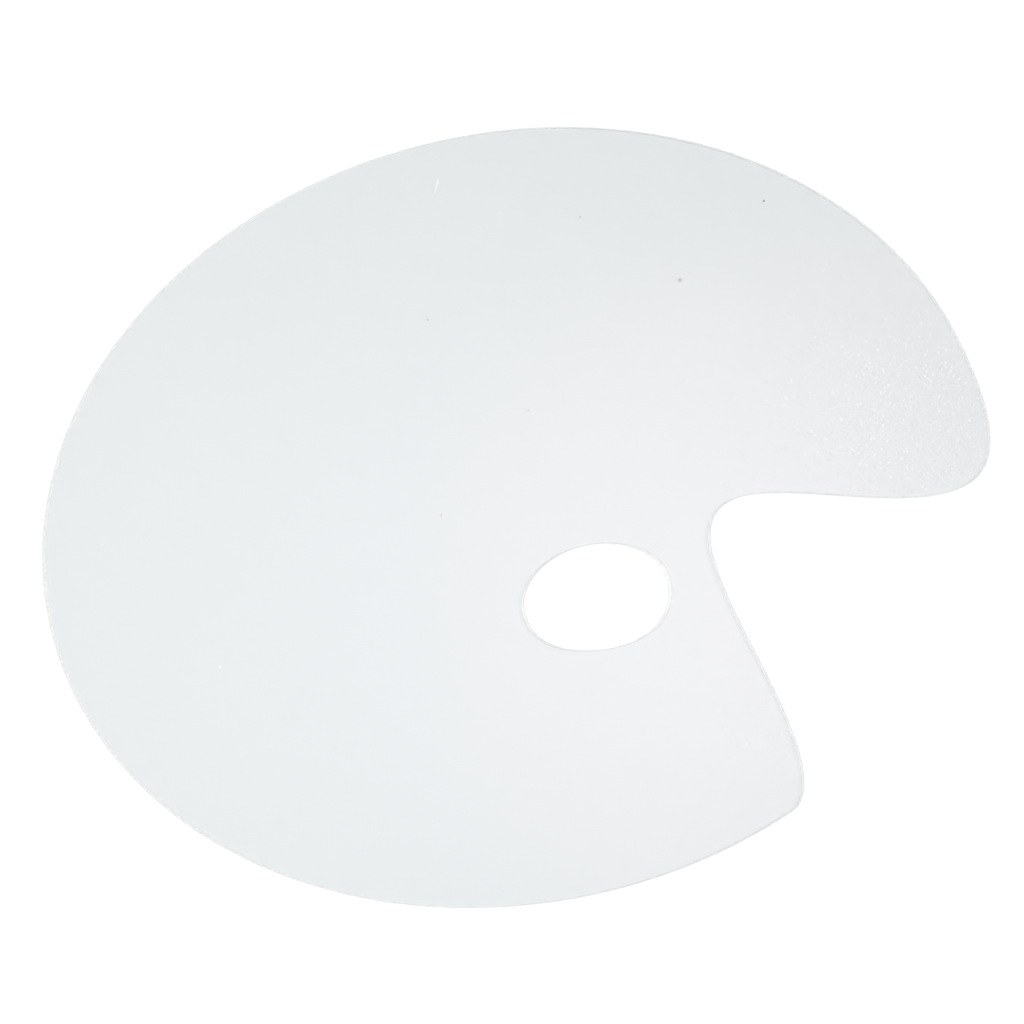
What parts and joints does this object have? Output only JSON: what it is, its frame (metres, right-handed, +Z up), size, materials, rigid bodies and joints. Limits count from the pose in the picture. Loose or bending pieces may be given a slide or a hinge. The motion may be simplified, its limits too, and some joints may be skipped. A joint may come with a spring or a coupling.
{
  "type": "mixing palette",
  "caption": "Flat oval painter's palette cut from clear sheet, with an oval thumb hole and a curved finger notch in its edge, for mixing paint in the hand or on a table.",
  "frame": {"origin": "middle of the underside's bounding box, on the surface that the sheet lies on", "axes": "+X along the oval's length towards the notched end, +Y across the sheet away from the notch, +Z up out of the mixing face"},
  "size_m": [0.3048, 0.2286, 0.003],
  "materials": {
    "clear_acrylic": "clear, colourless and glossy on both faces, with a polished cut edge and light handling marks"
  },
  "bodies": {
    "root": {"palette_sheet": "clear_acrylic"}
  },
  "joints": []
}
